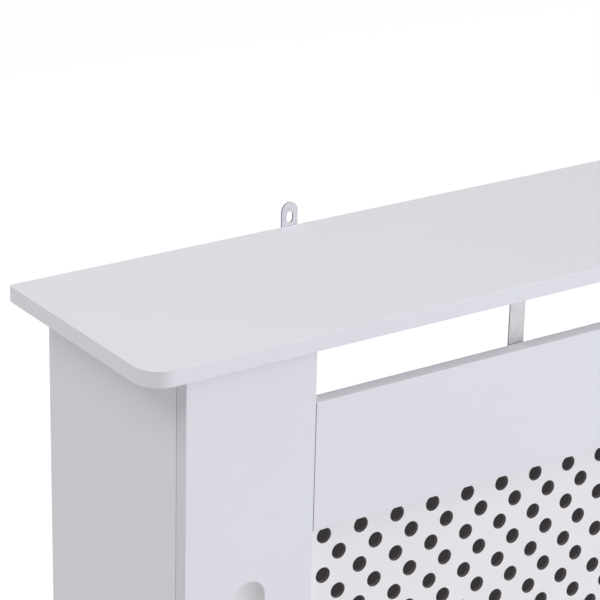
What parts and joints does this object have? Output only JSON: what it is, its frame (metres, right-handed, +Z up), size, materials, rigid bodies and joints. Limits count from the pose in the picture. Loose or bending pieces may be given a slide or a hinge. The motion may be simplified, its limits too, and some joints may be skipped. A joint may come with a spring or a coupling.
{
  "type": "radiator cover cabinet",
  "caption": "Open-backed radiator cover: overhanging shelf, side panels, fluted stiles, rails, perforated grille panel, zinc straps and wall brackets, cam-lock joints.",
  "frame": {"origin": "on the floor, in the middle of the cover's width and depth", "axes": "+X to the cover's right as seen from the front, +Y towards the wall, +Z up"},
  "size_m": [1.12, 0.1918, 0.8335],
  "materials": {
    "board_paint": "white satin lacquer on fibreboard",
    "grille_paint": "white satin coat on perforated hardboard",
    "zinc_strip": "bright zinc-plated steel strip",
    "screw_steel": "zinc-plated steel",
    "cam_zinc": "die-cast zinc, tumbled",
    "dowel_beech": "bare beech"
  },
  "bodies": {
    "cabinet": {"top_shelf": "board_paint", "left_side_panel": "board_paint", "right_side_panel": "board_paint", "left_stile": "board_paint", "right_stile": "board_paint", "top_rail": "board_paint", "bottom_rail": "board_paint", "grille_panel": "grille_paint", "left_shelf_strap": "zinc_strip", "right_shelf_strap": "zinc_strip", "left_wall_bracket": "zinc_strip", "right_wall_bracket": "zinc_strip", "grille_bottom_screw_1": "screw_steel", "grille_bottom_screw_2": "screw_steel", "grille_bottom_screw_3": "screw_steel", "grille_left_screw": "screw_steel", "grille_right_screw": "screw_steel", "grille_top_screw_1": "screw_steel", "grille_top_screw_2": "screw_steel", "grille_top_screw_3": "screw_steel", "left_bottom_dowel_1": "dowel_beech", "left_bottom_dowel_2": "dowel_beech", "left_bracket_screw_1": "screw_steel", "left_bracket_screw_2": "screw_steel", "left_shelf_cam_bolt_1": "screw_steel", "left_shelf_cam_bolt_2": "screw_steel", "left_stile_cam_bolt_1": "screw_steel", "left_stile_cam_bolt_2": "screw_steel", "left_strap_rail_screw_1": "screw_steel", "left_strap_rail_screw_2": "screw_steel", "left_strap_shelf_screw_1": "screw_steel", "left_strap_shelf_screw_2": "screw_steel", "left_top_dowel_1": "dowel_beech", "left_top_dowel_2": "dowel_beech", "right_bottom_dowel_1": "dowel_beech", "right_bottom_dowel_2": "dowel_beech", "right_bracket_screw_1": "screw_steel", "right_bracket_screw_2": "screw_steel", "right_shelf_cam_bolt_1": "screw_steel", "right_shelf_cam_bolt_2": "screw_steel", "right_stile_cam_bolt_1": "screw_steel", "right_stile_cam_bolt_2": "screw_steel", "right_strap_rail_screw_1": "screw_steel", "right_strap_rail_screw_2": "screw_steel", "right_strap_shelf_screw_1": "screw_steel", "right_strap_shelf_screw_2": "screw_steel", "right_top_dowel_1": "dowel_beech", "right_top_dowel_2": "dowel_beech"},
    "left_shelf_cam_1": {"left_shelf_cam_1": "cam_zinc"},
    "left_shelf_cam_2": {"left_shelf_cam_2": "cam_zinc"},
    "left_stile_cam_1": {"left_stile_cam_1": "cam_zinc"},
    "left_stile_cam_2": {"left_stile_cam_2": "cam_zinc"},
    "right_shelf_cam_1": {"right_shelf_cam_1": "cam_zinc"},
    "right_shelf_cam_2": {"right_shelf_cam_2": "cam_zinc"},
    "right_stile_cam_1": {"right_stile_cam_1": "cam_zinc"},
    "right_stile_cam_2": {"right_stile_cam_2": "cam_zinc"}
  },
  "joints": [
    {"name": "left_shelf_cam_1_turn", "type": "hinge", "parent": "cabinet", "child": "left_shelf_cam_1", "pos_m": [-0.5165, -0.0336, 0.7787], "axis": [1, 0, 0], "range_deg": [0, 180]},
    {"name": "left_shelf_cam_2_turn", "type": "hinge", "parent": "cabinet", "child": "left_shelf_cam_2", "pos_m": [-0.5165, 0.0491, 0.7787], "axis": [1, 0, 0], "range_deg": [0, 180]},
    {"name": "left_stile_cam_1_turn", "type": "hinge", "parent": "cabinet", "child": "left_stile_cam_1", "pos_m": [-0.5165, -0.0546, 0.1], "axis": [1, 0, 0], "range_deg": [0, 180]},
    {"name": "left_stile_cam_2_turn", "type": "hinge", "parent": "cabinet", "child": "left_stile_cam_2", "pos_m": [-0.5165, -0.0546, 0.7], "axis": [1, 0, 0], "range_deg": [0, 180]},
    {"name": "right_shelf_cam_1_turn", "type": "hinge", "parent": "cabinet", "child": "right_shelf_cam_1", "pos_m": [0.5165, -0.0336, 0.7787], "axis": [-1, 0, 0], "range_deg": [0, 180]},
    {"name": "right_shelf_cam_2_turn", "type": "hinge", "parent": "cabinet", "child": "right_shelf_cam_2", "pos_m": [0.5165, 0.0491, 0.7787], "axis": [-1, 0, 0], "range_deg": [0, 180]},
    {"name": "right_stile_cam_1_turn", "type": "hinge", "parent": "cabinet", "child": "right_stile_cam_1", "pos_m": [0.5165, -0.0546, 0.1], "axis": [-1, 0, 0], "range_deg": [0, 180]},
    {"name": "right_stile_cam_2_turn", "type": "hinge", "parent": "cabinet", "child": "right_stile_cam_2", "pos_m": [0.5165, -0.0546, 0.7], "axis": [-1, 0, 0], "range_deg": [0, 180]}
  ]
}
